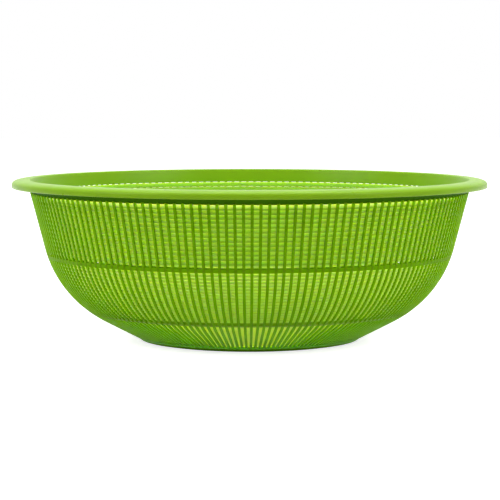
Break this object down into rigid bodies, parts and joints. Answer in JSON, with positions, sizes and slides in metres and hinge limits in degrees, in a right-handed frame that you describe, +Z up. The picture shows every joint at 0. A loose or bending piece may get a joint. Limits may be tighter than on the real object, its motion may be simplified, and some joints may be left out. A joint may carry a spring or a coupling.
{
  "type": "soil sieve",
  "caption": "Round bowl-shaped soil sieve moulded in green plastic, with a rolled rim, a lattice wall of upright ribs and inner hoops, and a foot ring to stand on.",
  "frame": {"origin": "on the ground at the middle of the foot ring", "axes": "+Z up along the axis of the bowl; -Y is the side seen in the picture"},
  "size_m": [0.4, 0.4, 0.1375],
  "materials": {
    "green_plastic": "semi-gloss, slightly see-through green polypropylene"
  },
  "bodies": {
    "root": {"rim_lip": "green_plastic", "collar_band": "green_plastic", "rib_panel_1": "green_plastic", "rib_panel_2": "green_plastic", "rib_panel_3": "green_plastic", "rib_panel_4": "green_plastic", "rib_panel_5": "green_plastic", "rib_panel_6": "green_plastic", "rib_panel_7": "green_plastic", "rib_panel_8": "green_plastic", "upper_hoop_01": "green_plastic", "upper_hoop_02": "green_plastic", "upper_hoop_03": "green_plastic", "upper_hoop_04": "green_plastic", "upper_hoop_05": "green_plastic", "upper_hoop_06": "green_plastic", "upper_hoop_07": "green_plastic", "upper_hoop_08": "green_plastic", "upper_hoop_09": "green_plastic", "upper_hoop_10": "green_plastic", "upper_hoop_11": "green_plastic", "upper_hoop_12": "green_plastic", "upper_hoop_13": "green_plastic", "mid_band": "green_plastic", "lower_hoop_01": "green_plastic", "lower_hoop_02": "green_plastic", "lower_hoop_03": "green_plastic", "lower_hoop_04": "green_plastic", "lower_hoop_05": "green_plastic", "lower_hoop_06": "green_plastic", "lower_hoop_07": "green_plastic", "lower_hoop_08": "green_plastic", "lower_hoop_09": "green_plastic", "lower_hoop_10": "green_plastic", "lower_hoop_11": "green_plastic", "lower_hoop_12": "green_plastic", "lower_hoop_13": "green_plastic", "lower_hoop_14": "green_plastic", "lower_hoop_15": "green_plastic", "lower_hoop_16": "green_plastic", "lower_hoop_17": "green_plastic", "lower_band": "green_plastic", "base_hoop_01": "green_plastic", "base_hoop_02": "green_plastic", "base_hoop_03": "green_plastic", "base_hoop_04": "green_plastic", "base_hoop_05": "green_plastic", "base_hoop_06": "green_plastic", "base_hoop_07": "green_plastic", "base_hoop_08": "green_plastic", "base_hoop_09": "green_plastic", "base_hoop_10": "green_plastic", "base_hoop_11": "green_plastic", "base_hoop_12": "green_plastic", "base_hoop_13": "green_plastic", "foot_ring": "green_plastic", "floor_grid": "green_plastic"}
  },
  "joints": []
}
